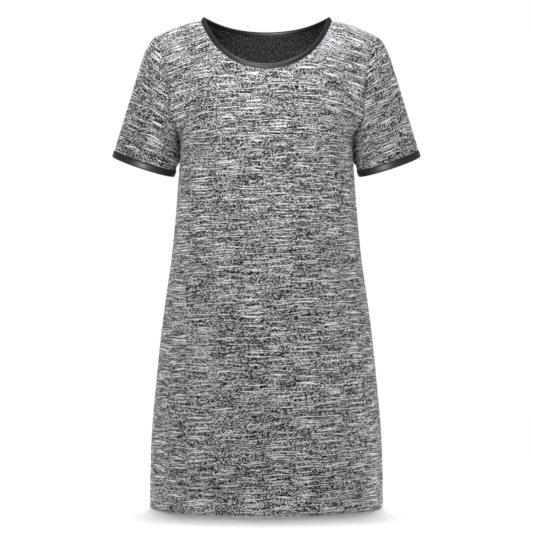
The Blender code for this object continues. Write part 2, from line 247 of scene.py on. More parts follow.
# Lamps, which are disks but for the long low one: width, spread of the light, place and target
Lamp = namedtuple("Lamp", "width spread place target")
KEY_LAMP = Lamp(0.45, math.radians(24), (-0.08, -0.95, 1.30), (0.0, -0.1, -0.06))
GLINT_LAMP = Lamp(0.35, math.pi, (-0.35, -1.80, -0.15), (0.0, 0.0, -0.25))
LOW_LAMP = Lamp(0.5, math.radians(5), (0.0, -1.2, -0.86), (0.0, -0.156, -0.872))
LOW_LAMP_HEIGHT = 0.02
OVERHEAD_ANGLE = math.radians(20)
OVERHEAD_PLACE = (0.0, 0.56, 2.4)

# Camera, in front of the middle of the dress
CAMERA_PLACE = (0.0, -3.3, -0.4474)
CAMERA_LENS = 122.5

# Mesh density, and the share of each half of a panel that lies under the neck edge
NECK_SHARE = 12 / 18
NECK_COLUMNS = 46
SHOULDER_COLUMNS = 24
YOKE_ROWS = 66
SKIRT_ROWS = 160
HEM_ROWS = 8
SLEEVE_ROWS = 56
STATIONS_A_COLUMN = 3
CUFF_STATIONS = 4 * YOKE_ROWS
EDGE_EASE = 0.75
SLEEVE_ROW_EASE = 1.15
LEAST_FLAT = 0.1
SLOPE_STEP = 0.002
LOOK_AHEAD = 0.02
SHARP_ANGLE = math.radians(50)

# The cloth pieces, the solid that each stands for, and which way each panel faces
PIECES = ("front_cloth", "back_cloth", "sleeve_cloth_left", "sleeve_cloth_right")
SOLIDS = ("front_panel", "back_panel", "sleeve_left", "sleeve_right")
TOWARDS = {"front": -1.0, "back": 1.0}

# The UV map of the flat cuts, which lie side by side so that no two pieces have the same slubs
CUT_MAP = "cut"
CUT_SPACING = 1.7


def linear(color):
    """Linear red, green, blue and alpha of an sRGB hex colour."""
    parts = [(color >> shift & 255) / 255 for shift in (16, 8, 0)]
    return [p / 12.92 if p <= 0.04045 else ((p + 0.055) / 1.055) ** 2.4 for p in parts] + [1.0]


def mix(first, second, share):
    """The linear colour at a share of the way from one to another."""
    return [a + (b - a) * share for a, b in zip(first, second)]


# ---- the form of the cloth


def hermite(start, end, leave, arrive, t):
    """The cubic from start to end with the given end tangents."""
    t2 = t * t
    t3 = t2 * t
    return (
        (2 * t3 - 3 * t2 + 1) * start
        + (t3 - 2 * t2 + t) * leave
        + (3 * t2 - 2 * t3) * end
        + (t3 - t2) * arrive
    )


def bezier(points, t):
    """The cubic Bezier curve of four control points."""
    a, b, c, d = points
    u = 1.0 - t
    return u * u * u * a + 3 * u * u * t * b + 3 * u * t * t * c + t * t * t * d


def smoothstep(t):
    """Eases from 0 to 1, and stays there outside that range."""
    t = min(1.0, max(0.0, t))
    return t * t * (3.0 - 2.0 * t)


def smooth_table(stations, rows, at):
    """Reads a table of equal-length rows smoothly at a station between two of its own."""
    count = len(stations)
    index = 0
    while index < count - 2 and (stations[index + 1] - at) * (stations[-1] - stations[0]) < 0:
        index += 1

    def slope(i):
        low = max(0, i - 1)
        high = min(count - 1, i + 1)
        return (rows[high] - rows[low]) / (stations[high] - stations[low])

    step = stations[index + 1] - stations[index]
    t = (at - stations[index]) / step
    return hermite(rows[index], rows[index + 1], slope(index) * step, slope(index + 1) * step, t)


RING_HEIGHTS = [ring.height for ring in RINGS]
RING_SIZES = [Vector((ring.half_width, ring.front, ring.back, ring.squareness)) for ring in RINGS]
ARMHOLE_POINTS = [Vector((stop.side, -stop.forward, stop.height)) for stop in ARMHOLE]
ARMHOLE_SPANS = [(after - before).length for before, after in zip(ARMHOLE_POINTS, ARMHOLE_POINTS[1:])]
ARMHOLE_LENGTHS = [sum(ARMHOLE_SPANS[:i]) for i in range(len(ARMHOLE_POINTS))]


def ring_point(panel, across, height):
    """A point of the body below the armholes. across runs from -1 to 1 between the side seams."""
    half_width, front, back, squareness = smooth_table(RING_HEIGHTS, RING_SIZES, height)
    depth = front if panel == "front" else back
    angle = abs(across) * math.pi / 2
    bend = 2.0 / squareness
    x = half_width * math.sin(angle) ** bend
    y = depth * max(0.0, math.cos(angle)) ** bend
    return Vector((math.copysign(x, across), TOWARDS[panel] * y, height))


def fold_height(panel, across, height):
    """How far the skirt's soft folds push the cloth out at a point."""
    down = (ARMPIT_LEVEL - height) / (ARMPIT_LEVEL - HEM_LEVEL)
    beside_seam = smoothstep((1.0 - abs(across)) / FOLD_FADE)
    total = 0.0
    for fold in FOLDS[panel]:
        middle = fold.angle + fold.drift * down
        away = (across * 90.0 - middle) / fold.width
        grow = smoothstep((fold.top - height) / (fold.top - HEM_LEVEL))
        total += fold.depth * grow * math.exp(-away * away)
    return total * beside_seam


def press_share(height):
    """How firmly the sleeve lies against the body at a height, from 0 to 1."""
    return smoothstep((PRESS_TOP - height) / PRESS_FADE) * smoothstep((height - PRESS_BOTTOM) / PRESS_FADE)


def skirt_point(panel, across, height):
    """A point of the body below the armholes, with the soft folds in it and dents under the arms."""
    point = ring_point(panel, across, height)
    middle = smooth_table(RING_HEIGHTS, RING_SIZES, height)
    depth = middle[1] if panel == "front" else middle[2]
    outward = Vector((point.x / middle[0] ** 2, point.y / depth**2, 0.0)).normalized()
    point += outward * fold_height(panel, across, height)
    dent = DENT * press_share(height) * math.exp(-((point.y / DENT_WIDTH) ** 2))
    point.x -= math.copysign(dent, point.x)
    return point


def neck_edge(panel, t):
    """The neck edge of one panel on the +X side, from its middle at 0 to the shoulder seam at 1."""
    whole = (NECK_HALF_WIDTH, TOWARDS[panel] * NECK_REACH[panel], -NECK_DROP[panel])
    shares = (Share(0.0, 1.0, 1.0), *NECK_CURVE[panel], Share(1.0, 0.0, 0.0))
    points = [Vector([size * part for size, part in zip(whole, share)]) for share in shares]
    return bezier(points, t)


def shoulder_seam(t):
    """The shoulder seam on the +X side, from the neck at 0 to the shoulder tip at 1."""
    x = NECK_HALF_WIDTH + (SHOULDER_TIP.x - NECK_HALF_WIDTH) * t
    return Vector((x, 0.0, SHOULDER_TIP.z * t**SHOULDER_ROUND))


def armhole(panel, t):
    """The armhole seam on the +X side, from the shoulder tip at 0 to the armpit at 1."""
    point = smooth_table(ARMHOLE_LENGTHS, ARMHOLE_POINTS, t * ARMHOLE_LENGTHS[-1])
    if panel == "back":
        point.y *= -ARMHOLE_BACK
    return point


def yoke_column(panel, across, t):
    """A point on the cubic that runs from the top edge of the panel down to the armpit level."""
    side = TOWARDS[panel]
    bottom = ring_point(panel, across, ARMPIT_LEVEL)
    arrive = (ring_point(panel, across, ARMPIT_LEVEL - SLOPE_STEP) - bottom) / SLOPE_STEP
    middle, neck, tip = (Vector((0.0, side * leave.out, -leave.down)) for leave in LEAVES[panel])
    if across <= NECK_SHARE:
        share = across / NECK_SHARE
        top = neck_edge(panel, share)
        leave = middle.lerp(neck, share * share)
    else:
        share = (across - NECK_SHARE) / (1.0 - NECK_SHARE)
        top = shoulder_seam(share)
        leave = neck.lerp(tip, share)
    leave.x = bottom.x - top.x
    return hermite(top, bottom, leave, arrive * (bottom - top).length, t)


def yoke_point(panel, across, t):
    """A point between the top edge at 0 and the armpit level at 1, pulled to the armhole seam."""
    side = abs(across)
    point = yoke_column(panel, side, t)
    point += side**ARMHOLE_REACH * (armhole(panel, t) - yoke_column(panel, 1.0, t))
    point.x = math.copysign(point.x, across)
    return point


def sleeve_point(around, along):
    """A point of the +X sleeve. around runs from 0 at the top through the front to 1 at the top."""
    half = 2.0 * around
    panel = "front" if half <= 1.0 else "back"
    seam = armhole(panel, half if half <= 1.0 else 2.0 - half)
    angle = half * math.pi
    end = CUFF_MIDDLE + (CUFF_OUTER - CUFF_MIDDLE) * math.cos(angle) + CUFF_FORWARD * math.sin(angle)
    radial = CUFF_ACROSS * math.cos(angle) - Vector((0.0, 1.0, 0.0)) * math.sin(angle)
    head = SLEEVE_HEAD * (0.5 + 0.5 * math.cos(angle))
    swell = head * (1.0 - along) * (1.0 - math.exp(-along / SLEEVE_HEAD_ROUND))
    return seam.lerp(end, along) + radial * swell


def crease_height(point):
    """How far the short creases push the cloth out at a point."""
    place = Vector((point.x, point.z))
    total = 0.0
    for crease in CREASES["front" if point.y < 0 else "back"]:
        start = Vector((crease.x0, crease.z0))
        run = Vector((crease.x1, crease.z1)) - start
        share = (place - start).dot(run) / run.length_squared
        away = (place - start - run * share).length / crease.width
        if -CREASE_END < share < 1.0 + CREASE_END and away < CREASE_REACH:
            grow = smoothstep((share + CREASE_END) / CREASE_END)
            fade = smoothstep((1.0 + CREASE_END - share) / CREASE_END)
            total += crease.depth * grow * fade * math.exp(-away * away)
    return total


# ---- grids and their flat cut


def eased(count, start, end, ease):
    """count + 1 stations from start to end, closer together towards the end as ease falls below 1."""
    return [start + (end - start) * (1.0 - (1.0 - i / count) ** (1.0 / ease)) for i in range(count + 1)]


def panel_stations():
    """Places across a panel from side seam to side seam, with one at each end of the shoulder seams."""
    inner = [NECK_SHARE * i / NECK_COLUMNS for i in range(NECK_COLUMNS)]
    half = inner + eased(SHOULDER_COLUMNS, NECK_SHARE, 1.0, EDGE_EASE)
    return [-across for across in reversed(half[1:])] + half


def yoke_stations():
    """Places down a yoke column from the top edge, closer together beside it."""
    return [1.0 - t for t in reversed(eased(YOKE_ROWS, 0.0, 1.0, EDGE_EASE))]


def skirt_heights():
    """Heights of the rows below the armpit level, with the step where the turned-up hem begins."""
    turning = HEM_LEVEL + HEM_TURNING
    even = SKIRT_ROWS - HEM_ROWS
    rows = [ARMPIT_LEVEL + (turning + HEM_STEP - ARMPIT_LEVEL) * (i + 1) / even for i in range(even)]
    return rows + [turning + (HEM_LEVEL - turning) * i / (HEM_ROWS - 1) for i in range(HEM_ROWS)]


def panel_points(panel):
    """Rows of points down one panel, each from the -X side seam to the +X one."""
    across = panel_stations()
    rows = [[yoke_point(panel, x, t) for x in across] for t in yoke_stations()]
    return rows + [[skirt_point(panel, x, height) for x in across] for height in skirt_heights()]


def press_to_body(row, inner):
    """Moves the inner side of a row of sleeve points up to the side of the body."""
    side = smooth_table(RING_HEIGHTS, RING_SIZES, min(ARMPIT_LEVEL, inner.z))[0]
    push = (inner.x - side + DENT - PRESS_GAP) * press_share(inner.z)
    for point in row:
        if point.x < CUFF_MIDDLE.x:
            point.x -= push * math.exp(-((point.y / PRESS_WIDTH) ** 2))


def sleeve_points(mirror):
    """Rows of points down one sleeve, each from the underarm seam right round to it again."""
    ease = yoke_stations()
    turns = [half / 2 for half in ease] + [1.0 - half / 2 for half in reversed(ease[:-1])]
    start = len(ease) - 1
    around = turns[start:] + turns[1 : start + 1]
    rows = []
    for i in range(SLEEVE_ROWS + 1):
        along = (i / SLEEVE_ROWS) ** SLEEVE_ROW_EASE
        row = [sleeve_point(turn, along) for turn in around]
        press_to_body(row, sleeve_point(0.5, along))
        for point in row:
            point.x *= mirror
        rows.append(row)
    return rows


def spread_across(rows, ups):
    """Flat places of the points: ups are given, and across is what is left of each step in a row."""
    middle = len(rows[0]) // 2
    cut = []
    for row, up in zip(rows, ups):
        across = [0.0] * len(row)
        for side in (1, -1):
            column = middle
            while 0 <= column + side < len(row):
                step = (row[column + side] - row[column]).length
                rise = up[column + side] - up[column]
                flat = math.sqrt(max(step * step - rise * rise, LEAST_FLAT * step * step))
                across[column + side] = across[column] + side * flat
                column += side
        cut.append([Vector((a, u)) for a, u in zip(across, up)])
    return cut


def course(point):
    """The knit course that runs through a point of the body, as a length up from the hem."""
    beside_arm = max(0.0, abs(point.x) - DROOP_START)
    chest = smoothstep((point.z - ARMPIT_LEVEL + DROOP_FADE / 2) / DROOP_FADE)
    droop = DROOP * beside_arm**2 / (2.0 * DROOP_START) * chest
    slant = SLANT * math.copysign(point.x, -point.x * point.y) * (1.0 - chest)
    high = smoothstep((point.z - LEAN_LEVEL) / LEAN_FADE)
    over_shoulder = max(0.0, LEAN_START - abs(point.y)) * high
    return point.z - HEM_LEVEL + droop - slant + LEAN * over_shoulder


def panel_cut(rows):
    """The flat cut of a panel: up follows the knit courses, which droop towards the armholes."""
    return spread_across(rows, [[course(point) for point in row] for row in rows])


def sleeve_cut(rows, mirror):
    """The flat cut of a sleeve: up is measured round the point that its slubs fan out from."""
    ups = []
    for row in rows:
        away = [Vector((point.x * mirror, 0.0, point.z)) - SLEEVE_FAN for point in row]
        ups.append([SLEEVE_FAN_RADIUS * math.atan2(part.z, part.x) for part in away])
    return spread_across(rows, ups)


def new_grid(mesh, columns, rows):
    """Adds a grid of faces, and gives each of its corners with the corner's row and column."""
    made = bmesh.ops.create_grid(mesh, x_segments=columns, y_segments=rows, size=1.0)["verts"]
    place = {}
    for vert in made:
        column = round((1.0 + vert.co.x) / 2.0 * columns)
        row = round((1.0 - vert.co.y) / 2.0 * rows)
        place[vert] = (row, column)
    return place


def add_grid(mesh, piece, rows, cut, seams):
    """Lays a grid on rows of points, marks its piece, and notes its flat cut and nearness to seams."""
    place = new_grid(mesh, len(rows[0]) - 1, len(rows) - 1)
    cut_map = mesh.loops.layers.uv.verify()
    beside = mesh.verts.layers.float["beside_seam"]
    shift = Vector((piece * CUT_SPACING, 0.0))
    for vert, (row, column) in place.items():
        vert.co = rows[row][column]
        vert[beside] = nearest_seam(cut, row, column, seams)
    for face in {face for vert in place for face in vert.link_faces}:
        face.material_index = piece
        for loop in face.loops:
            row, column = place[loop.vert]
            loop[cut_map].uv = cut[row][column] + shift


def nearest_seam(cut, row, column, seams):
    """The distance over the cloth to the nearest of the named edges of a grid."""
    here = cut[row][column]
    away = [1.0]
    if "sides" in seams:
        away += [abs(cut[row][0].x - here.x), abs(cut[row][-1].x - here.x)]
    if "top" in seams:
        away.append((cut[0][column] - here).length)
    if "bottom" in seams:
        away.append((cut[-1][column] - here).length)
    return min(away)


# ---- sewing the cloth pieces


def wall_at(height):
    """The wall's thickness: the turned-up hem is the cloth folded double."""
    return HEM_WALL if height < HEM_TOP else WALL


def make_skin(cloth):
    """The outer surface of all four cloth pieces, sewn together, with the way in at each point."""
    skin = bmesh.new()
    skin.loops.layers.uv.new(CUT_MAP)
    skin.verts.layers.float.new("beside_seam")
    skin.verts.layers.float_vector.new("inward")
    for piece, panel in enumerate(("front", "back")):
        rows = panel_points(panel)
        add_grid(skin, piece, rows, panel_cut(rows), ("sides", "top"))
    for piece, mirror in ((2, 1.0), (3, -1.0)):
        rows = sleeve_points(mirror)
        add_grid(skin, piece, rows, sleeve_cut(rows, mirror), ("sides", "top", "bottom"))
    bmesh.ops.remove_doubles(skin, verts=skin.verts[:], dist=SEAM_GAP / 10)
    bmesh.ops.recalc_face_normals(skin, faces=skin.faces[:])
    skin.normal_update()
    foremost = min(skin.faces, key=lambda face: face.calc_center_median().y)
    if foremost.normal.y > 0:
        bmesh.ops.reverse_faces(skin, faces=skin.faces[:])
        skin.normal_update()
    beside = skin.verts.layers.float["beside_seam"]
    for vert in skin.verts:
        dip = math.exp(-((vert[beside] / cloth.seam_width) ** 2)) * cloth.seam_depth
        rise = crease_height(vert.co) * cloth.crease_share * smoothstep(vert[beside] / CREASE_FADE)
        vert.co += vert.normal * (rise - dip)
    skin.normal_update()
    inward = skin.verts.layers.float_vector["inward"]
    for vert in skin.verts:
        facing = sum(vert.normal.dot(face.normal) for face in vert.link_faces)
        mitre = min(LARGEST_MITRE, len(vert.link_faces) / max(facing, 0.01))
        vert[inward] = -vert.normal * wall_at(vert.co.z) * mitre
    return skin


def middle_of_wall(faces):
    """The mean of the faces' middles, half a wall in."""
    total = Vector()
    for face in faces:
        total += face.calc_center_median() - face.normal * WALL / 2
    return total / len(faces)


def seam_pulls(skin, piece, inward):
    """How each seam point of a piece draws back from the pieces that it is sewn to."""
    pulls = []
    for vert in skin.verts:
        own = [face for face in vert.link_faces if face.material_index == piece]
        others = [face for face in vert.link_faces if face.material_index != piece]
        if not own or not others:
            continue
        away = middle_of_wall(own) - middle_of_wall(others)
        rim = vert[inward].normalized()
        away -= rim * away.dot(rim)
        pieces = {face.material_index for face in vert.link_faces}
        reach = SEAM_GAP / 2 if len(pieces) == 2 else CORNER_GAP / 2
        pulls.append((vert, away.normalized() * reach))
    return pulls


def cloth_piece(skin, piece, materials):
    """One cloth piece as a closed wall: its part of the skin, drawn back at seams and thickened."""
    mesh = skin.copy()
    inward = mesh.verts.layers.float_vector["inward"]
    pulls = seam_pulls(mesh, piece, inward)
    others = [face for face in mesh.faces if face.material_index != piece]
    bmesh.ops.delete(mesh, geom=others, context="FACES")
    for vert, pull in pulls:
        vert.co += pull
    for face in mesh.faces:
        face.material_index = 0
    grown = bmesh.ops.extrude_face_region(mesh, geom=mesh.faces[:], use_keep_orig=True)["geom"]
    inner = {item for item in grown if isinstance(item, bmesh.types.BMVert)}
    for vert in inner:
        vert.co += vert[inward]
    for face in mesh.faces:
        reverse = any(vert in inner for vert in face.verts)
        if reverse and face.calc_center_median().z > HEM_TOP:
            face.material_index = 1
    bmesh.ops.recalc_face_normals(mesh, faces=mesh.faces[:])
    round_hem(mesh)
    finish_piece(mesh, PIECES[piece], materials, SOLIDS[piece])


def round_hem(mesh):
    """Rounds the fold at the bottom of the hem."""
    rim = [face for face in mesh.faces if max(vert.co.z for vert in face.verts) < HEM_LEVEL + FOLD_BAND]
    ends = {edge for face in rim for edge in face.edges if len(edge.link_faces) == 2}
    fold = [edge for edge in ends if sum(face in rim for face in edge.link_faces) == 1]
    fold = [edge for edge in fold if edge.calc_face_angle() > FOLD_ANGLE]
    form = dict(offset=HEM_ROUND, segments=3, profile=0.5, affect="EDGES", material=-1)
    bmesh.ops.bevel(mesh, geom=fold, **form)


def new_object(name, data):
    """A new object in the scene that holds the data."""
    made = bpy.data.objects.new(name, data)
    bpy.context.scene.collection.objects.link(made)
    return made


def mesh_object(name, mesh, materials):
    """A new object in the scene with the mesh, which is used up, and its materials."""
    data = bpy.data.meshes.new(name)
    mesh.to_mesh(data)
    mesh.free()
    for material in materials:
        data.materials.append(material)
    return new_object(name, data)


def finish_piece(mesh, name, materials, solid):
    """Puts the mesh in the scene as one piece that stands for its solid."""
    mesh.normal_update()
    piece = mesh_object(name, mesh, materials)
    piece.data.shade_smooth()
    piece.data.set_sharp_from_angle(angle=SHARP_ANGLE)
    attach(piece, "root")
    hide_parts(solid)


# ---- bindings


def strip_section(width, thickness, groove):
    """Points round a flat strip's section, as (along the cloth, out of the cloth)."""
    points = []
    bend = 2.0 / BINDING_SQUARENESS
    for side in range(BINDING_SIDES):
        angle = math.tau * (side + 0.5) / BINDING_SIDES
        across = math.copysign(abs(math.cos(angle)) ** bend, math.cos(angle)) * width / 2
        out = math.copysign(abs(math.sin(angle)) ** bend, math.sin(angle)) * thickness / 2
        away = (across - groove.place * width / 2) / groove.width
        out -= math.copysign(groove.depth * math.exp(-away * away), out)
        points.append((across, out))
    return points


def add_binding(name, solid, stations, width, thickness, groove, satin):
    """A strip folded over an edge all the way round. Each station is (cloth edge, away from the edge,
    out of the cloth)."""
    width += BINDING_OVERLAP
    section = strip_section(width, thickness, groove)
    gap = width / 2 - BINDING_OVERLAP
    mesh = bmesh.new()
    cut_map = mesh.loops.layers.uv.new(CUT_MAP)
    sides = len(section)
    count = len(stations)
    lengths = [0.0]
    for i in range(count):
        step = stations[(i + 1) % count][0] - stations[i][0]
        lengths.append(lengths[-1] + step.length)
    turns = [0.0]
    for i in range(sides):
        step = Vector(section[(i + 1) % sides]) - Vector(section[i])
        turns.append(turns[-1] + step.length)
    place = new_grid(mesh, count, sides)
    for face in mesh.faces:
        for loop in face.loops:
            row, station = place[loop.vert]
            loop[cut_map].uv = (lengths[station], turns[sides - row])
    for vert, (row, station) in place.items():
        edge, away, out = stations[station % count]
        across, proud = section[-row % sides]
        vert.co = edge + away * (gap + across) + out * proud
    bmesh.ops.remove_doubles(mesh, verts=mesh.verts[:], dist=SEAM_GAP / 10)
    bmesh.ops.recalc_face_normals(mesh, faces=mesh.faces[:])
    finish_piece(mesh, name, [satin], solid)


def frames_of(edges, downs, lift):
    """Strip stations from edge points and the way that the cloth leaves them."""
    stations = []
    for i, edge in enumerate(edges):
        along = (edges[(i + 1) % len(edges)] - edges[i - 1]).normalized()
        down = (downs[i] - along * downs[i].dot(along)).normalized()
        away = Vector((0.0, 0.0, lift)) - down
        away = (away - along * away.dot(along)).normalized()
        out = along.cross(away)
        stations.append((edge - out * WALL / 2, away, out))
    return stations


def neck_stations():
    """The neck edge all the way round, with the way the binding stands up from it."""
    columns = NECK_COLUMNS * STATIONS_A_COLUMN
    edges = []
    downs = []
    for panel, sense in (("front", 1.0), ("back", -1.0)):
        for column in range(-columns, columns):
            across = sense * column / columns * NECK_SHARE
            edge = yoke_point(panel, across, 0.0)
            down = yoke_point(panel, across, LOOK_AHEAD) - edge
            if column == -columns:
                down = shoulder_seam(LOOK_AHEAD) - shoulder_seam(0.0)
                down.x = math.copysign(down.x, across)
            edges.append(edge)
            downs.append(down)
    return frames_of(edges, downs, NECK_BINDING_LIFT)


def cuff_stations(mirror):
    """The end of one sleeve's cloth all the way round, with the sleeve's own direction."""
    flip = Vector((mirror, 1.0, 1.0))
    stations = []
    for i in range(CUFF_STATIONS):
        edge = sleeve_point(i / CUFF_STATIONS, 1.0)
        out = edge - CUFF_MIDDLE
        out = (out - CUFF_DOWN * out.dot(CUFF_DOWN)).normalized()
        stations.append(((edge - out * WALL / 2) * flip, CUFF_DOWN * flip, out * flip))
    return stations


# ---- materials


def add_node(tree, kind, inputs=(), **settings):
    """Adds a node with its settings, and fills or links its inputs, given as pairs."""
    node = tree.nodes.new(kind)
    for name, value in settings.items():
        setattr(node, name, value)
    for socket, value in inputs:
        if isinstance(value, bpy.types.NodeSocket):
            tree.links.new(value, node.inputs[socket])
        else:
            node.inputs[socket].default_value = value
    return node


def new_material(name, roughness, sheen, specular):
    """An empty material with its shader, and the tree to add to."""
    material = bpy.data.materials.new(name)
    material.use_nodes = True
    tree = material.node_tree
    shader = tree.nodes["Principled BSDF"]
    shader.inputs["Roughness"].default_value = roughness
    shader.inputs["Sheen Weight"].default_value = sheen
    shader.inputs["Sheen Roughness"].default_value = 0.5
    shader.inputs["Specular IOR Level"].default_value = specular
    return material, tree, shader


def noise(tree, place, size, detail, shift=(0.0, 0.0), turn=0.0):
    """Smooth noise about 0, with lumps of the given width and height in metres."""
    scale = (1.0 / size[0], 1.0 / size[1], 1.0)
    if turn:
        inputs = (("Vector", place), ("Rotation", (0.0, 0.0, turn)))
        place = add_node(tree, "ShaderNodeMapping", inputs).outputs["Vector"]
    inputs = (("Vector", place), ("Scale", scale), ("Location", (*shift, 0.0)))
    place = add_node(tree, "ShaderNodeMapping", inputs).outputs["Vector"]
    inputs = (("Vector", place), ("Scale", 1.0), ("Detail", detail))
    made = add_node(tree, "ShaderNodeTexNoise", inputs, noise_dimensions="2D")
    return math_node(tree, "SUBTRACT", made.outputs[0], 0.5)


def stitches(tree, place, size):
    """A value about 0 of its own for each stitch, of the given width and height in metres."""
    inputs = ((0, place), (1, (*size, 1.0)))
    place = add_node(tree, "ShaderNodeVectorMath", inputs, operation="SNAP").outputs[0]
    made = add_node(tree, "ShaderNodeTexWhiteNoise", (("Vector", place),), noise_dimensions="2D")
    return math_node(tree, "SUBTRACT", made.outputs["Value"], 0.5)


def math_node(tree, operation, first, second=0.0, third=0.0, clamp=False):
    """The result of one sum on numbers or sockets."""
    inputs = ((0, first), (1, second), (2, third))
    return add_node(tree, "ShaderNodeMath", inputs, operation=operation, use_clamp=clamp).outputs[0]


def blend(tree, value, between, results):
    """Eases from one result to the other as the value runs between two numbers."""
    inputs = ((0, value), (1, between[0]), (2, between[1]), (3, results[0]), (4, results[1]))
    return add_node(tree, "ShaderNodeMapRange", inputs, interpolation_type="SMOOTHSTEP").outputs[0]


def ramp(tree, value, stops):
    """The colour that a value has between stops of (place, linear colour)."""
    node = add_node(tree, "ShaderNodeValToRGB", (("Fac", value),))
    elements = node.color_ramp.elements
    while len(elements) < len(stops):
        elements.new(1.0)
    for element, (place, color) in zip(elements, stops):
        element.position = place
        element.color = color
    return node.outputs["Color"]


def flat_cut(tree):
    """The place of a point in its piece's flat cut, in metres."""
    return add_node(tree, "ShaderNodeUVMap", uv_map=CUT_MAP).outputs["UV"]


def finish_cloth(tree, shader, color, height, strength, distance):
    """Gives the shader its colour, and raises the surface a little where a value is high."""
    tree.links.new(color, shader.inputs["Base Color"])
    inputs = (("Height", height), ("Strength", strength), ("Distance", distance))
    bump = add_node(tree, "ShaderNodeBump", inputs)
    tree.links.new(bump.outputs["Normal"], shader.inputs["Normal"])


def marl_jersey(look, name, middle, sheen):
    """Slub marl jersey, knitted from pale and dark yarns: a salt and pepper ground with pale slubs
    that run across the cloth, so the eye sees fine broken streaks."""
    material, tree, shader = new_material(name, 0.92, sheen, specular=0.2)
    flat = flat_cut(tree)
    waver = noise(tree, flat, WAVER_SIZE, 0.0)
    lift = math_node(tree, "MULTIPLY", waver, look.waver)
    lift = add_node(tree, "ShaderNodeCombineXYZ", (("Y", lift),)).outputs[0]
    wavy = add_node(tree, "ShaderNodeVectorMath", ((0, flat), (1, lift))).outputs[0]
    slub = noise(tree, wavy, (look.slub_length, look.slub_height), 1.0)
    thread = noise(tree, wavy, THREAD_SIZE, 1.0, (3.7, 9.1))
    # The stitches are 0.8 mm wide. They are drawn larger, at about a pixel, so that they show
    grain = stitches(tree, wavy, STITCH_SIZE)
    patch = noise(tree, flat, PATCH_SIZE, 1.0, (31.0, 2.0), PATCH_TURN)
    # The knit's diagonal rib is finer too. It is drawn at 5.5 mm, three pixels, so that it shows
    inputs = ((0, flat), (1, (math.tau / look.rib, math.tau / look.rib, 0.0)))
    slope = add_node(tree, "ShaderNodeVectorMath", inputs, operation="DOT_PRODUCT").outputs["Value"]
    rib = math_node(tree, "SINE", slope)
    proud = math_node(tree, "SUBTRACT", slub, PALE_START)
    proud = math_node(tree, "MAXIMUM", proud, 0.0)
    value = middle
    strengths = (look.slub_strength, look.pale_strength, look.thread_strength, look.grain_strength)
    for part, strength in zip((slub, proud, thread, grain), strengths):
        value = math_node(tree, "MULTIPLY_ADD", part, strength, value)
    value = math_node(tree, "MULTIPLY_ADD", rib, look.rib_strength, value)
    value = math_node(tree, "MULTIPLY_ADD", patch, look.patch_strength, value, clamp=True)
    dark, marl, pale = look.dark_yarn, look.marl, look.pale_yarn
    between = ((0.25, mix(dark, marl, 0.19)), (0.5, marl), (0.75, mix(marl, pale, 0.295)))
    color = ramp(tree, value, ((0.0, dark), *between, (1.0, pale)))
    finish_cloth(tree, shader, color, value, 0.4, 0.0006)
    return material


def jersey_reverse(look):
    """The reverse of the jersey, where the dark yarn lies: charcoal with faint pale flecks."""
    material, tree, shader = new_material("marl_jersey_reverse", 0.95, sheen=0.1, specular=0.15)
    flat = flat_cut(tree)
    grain = noise(tree, flat, REVERSE_STITCH_SIZE, 2.0)
    fleck = noise(tree, flat, FLECK_SIZE, 0.0, (7.0, 3.0))
    fleck = math_node(tree, "MULTIPLY", math_node(tree, "SUBTRACT", fleck, 0.22, clamp=True), 2.0)
    value = math_node(tree, "MULTIPLY_ADD", grain, 1.8, 0.51)
    value = math_node(tree, "ADD", value, fleck, clamp=True)
    deep = mix(look.dark_yarn, look.reverse, 0.29)
    light = mix(look.reverse, look.pale_yarn, 0.195)
    color = ramp(tree, value, ((0.0, deep), (0.5, look.reverse), (1.0, light)))
    finish_cloth(tree, shader, color, value, 0.5, 0.0006)
    return material


def satin_binding(look):
    """Charcoal polyester satin, cut on the bias: smooth, with a broad soft highlight along it."""
    material, tree, shader = new_material("charcoal_satin", 0.44, sheen=0.0, specular=0.36)
    # The satin's floats are 0.3 mm wide. They are drawn at 1 mm, slanting, as the bias cut lays them
    flat = flat_cut(tree)
    value = noise(tree, flat, FLOAT_SIZE, 2.0, turn=FLOAT_TURN)
    shade = math_node(tree, "MULTIPLY_ADD", value, 0.8, 0.5, clamp=True)
    deep = mix(look.dark_yarn, look.satin, 0.24)
    color = ramp(tree, shade, ((0.0, deep), (1.0, look.satin)))
    finish_cloth(tree, shader, color, value, 0.25, 0.0004)
    return material


# ---- settings, operators and panel

TINT = dict(subtype="COLOR", size=4, min=0.0, max=1.0)


